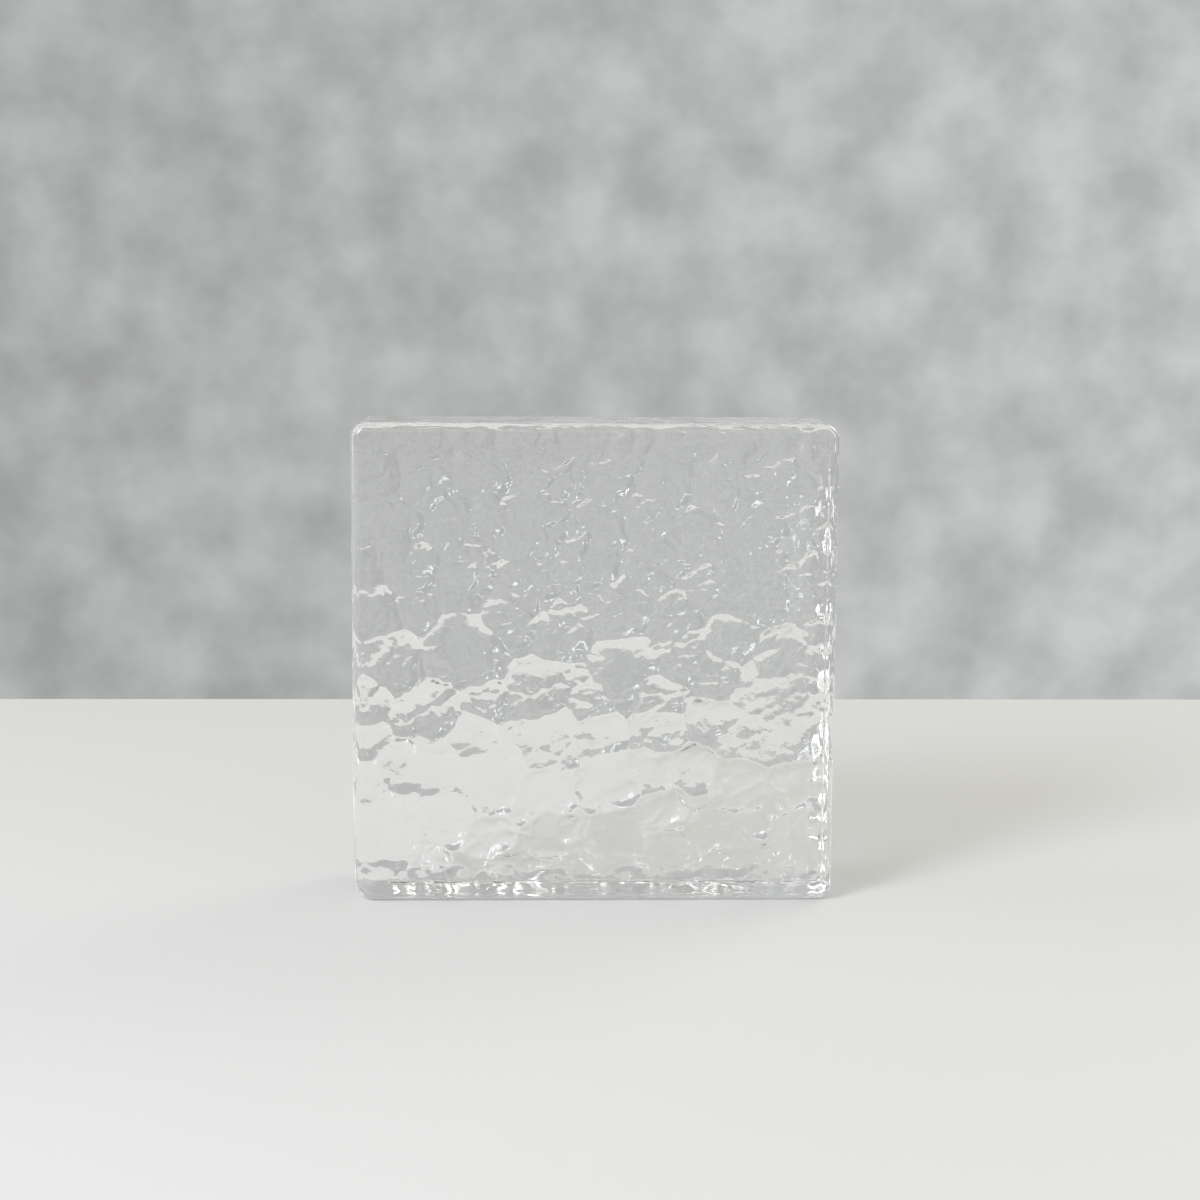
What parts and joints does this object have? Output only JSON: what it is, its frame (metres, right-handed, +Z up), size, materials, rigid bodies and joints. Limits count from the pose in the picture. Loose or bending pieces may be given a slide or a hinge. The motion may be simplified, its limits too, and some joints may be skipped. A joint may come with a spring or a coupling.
{
  "type": "glass block",
  "caption": "Solid square block of clear cast glass, smooth in front, with soft rounded edges and an ice-pattern relief of low, crowded lumps on its back.",
  "frame": {"origin": "middle of the underside, on the surface the block stands on", "axes": "+Z up, -Y out of the smooth front, +X to the right when facing the front"},
  "size_m": [0.2, 0.05, 0.2],
  "materials": {
    "clear_glass": "fire-polished front and rims, waved back"
  },
  "bodies": {
    "root": {"glass_block": "clear_glass"}
  },
  "joints": []
}
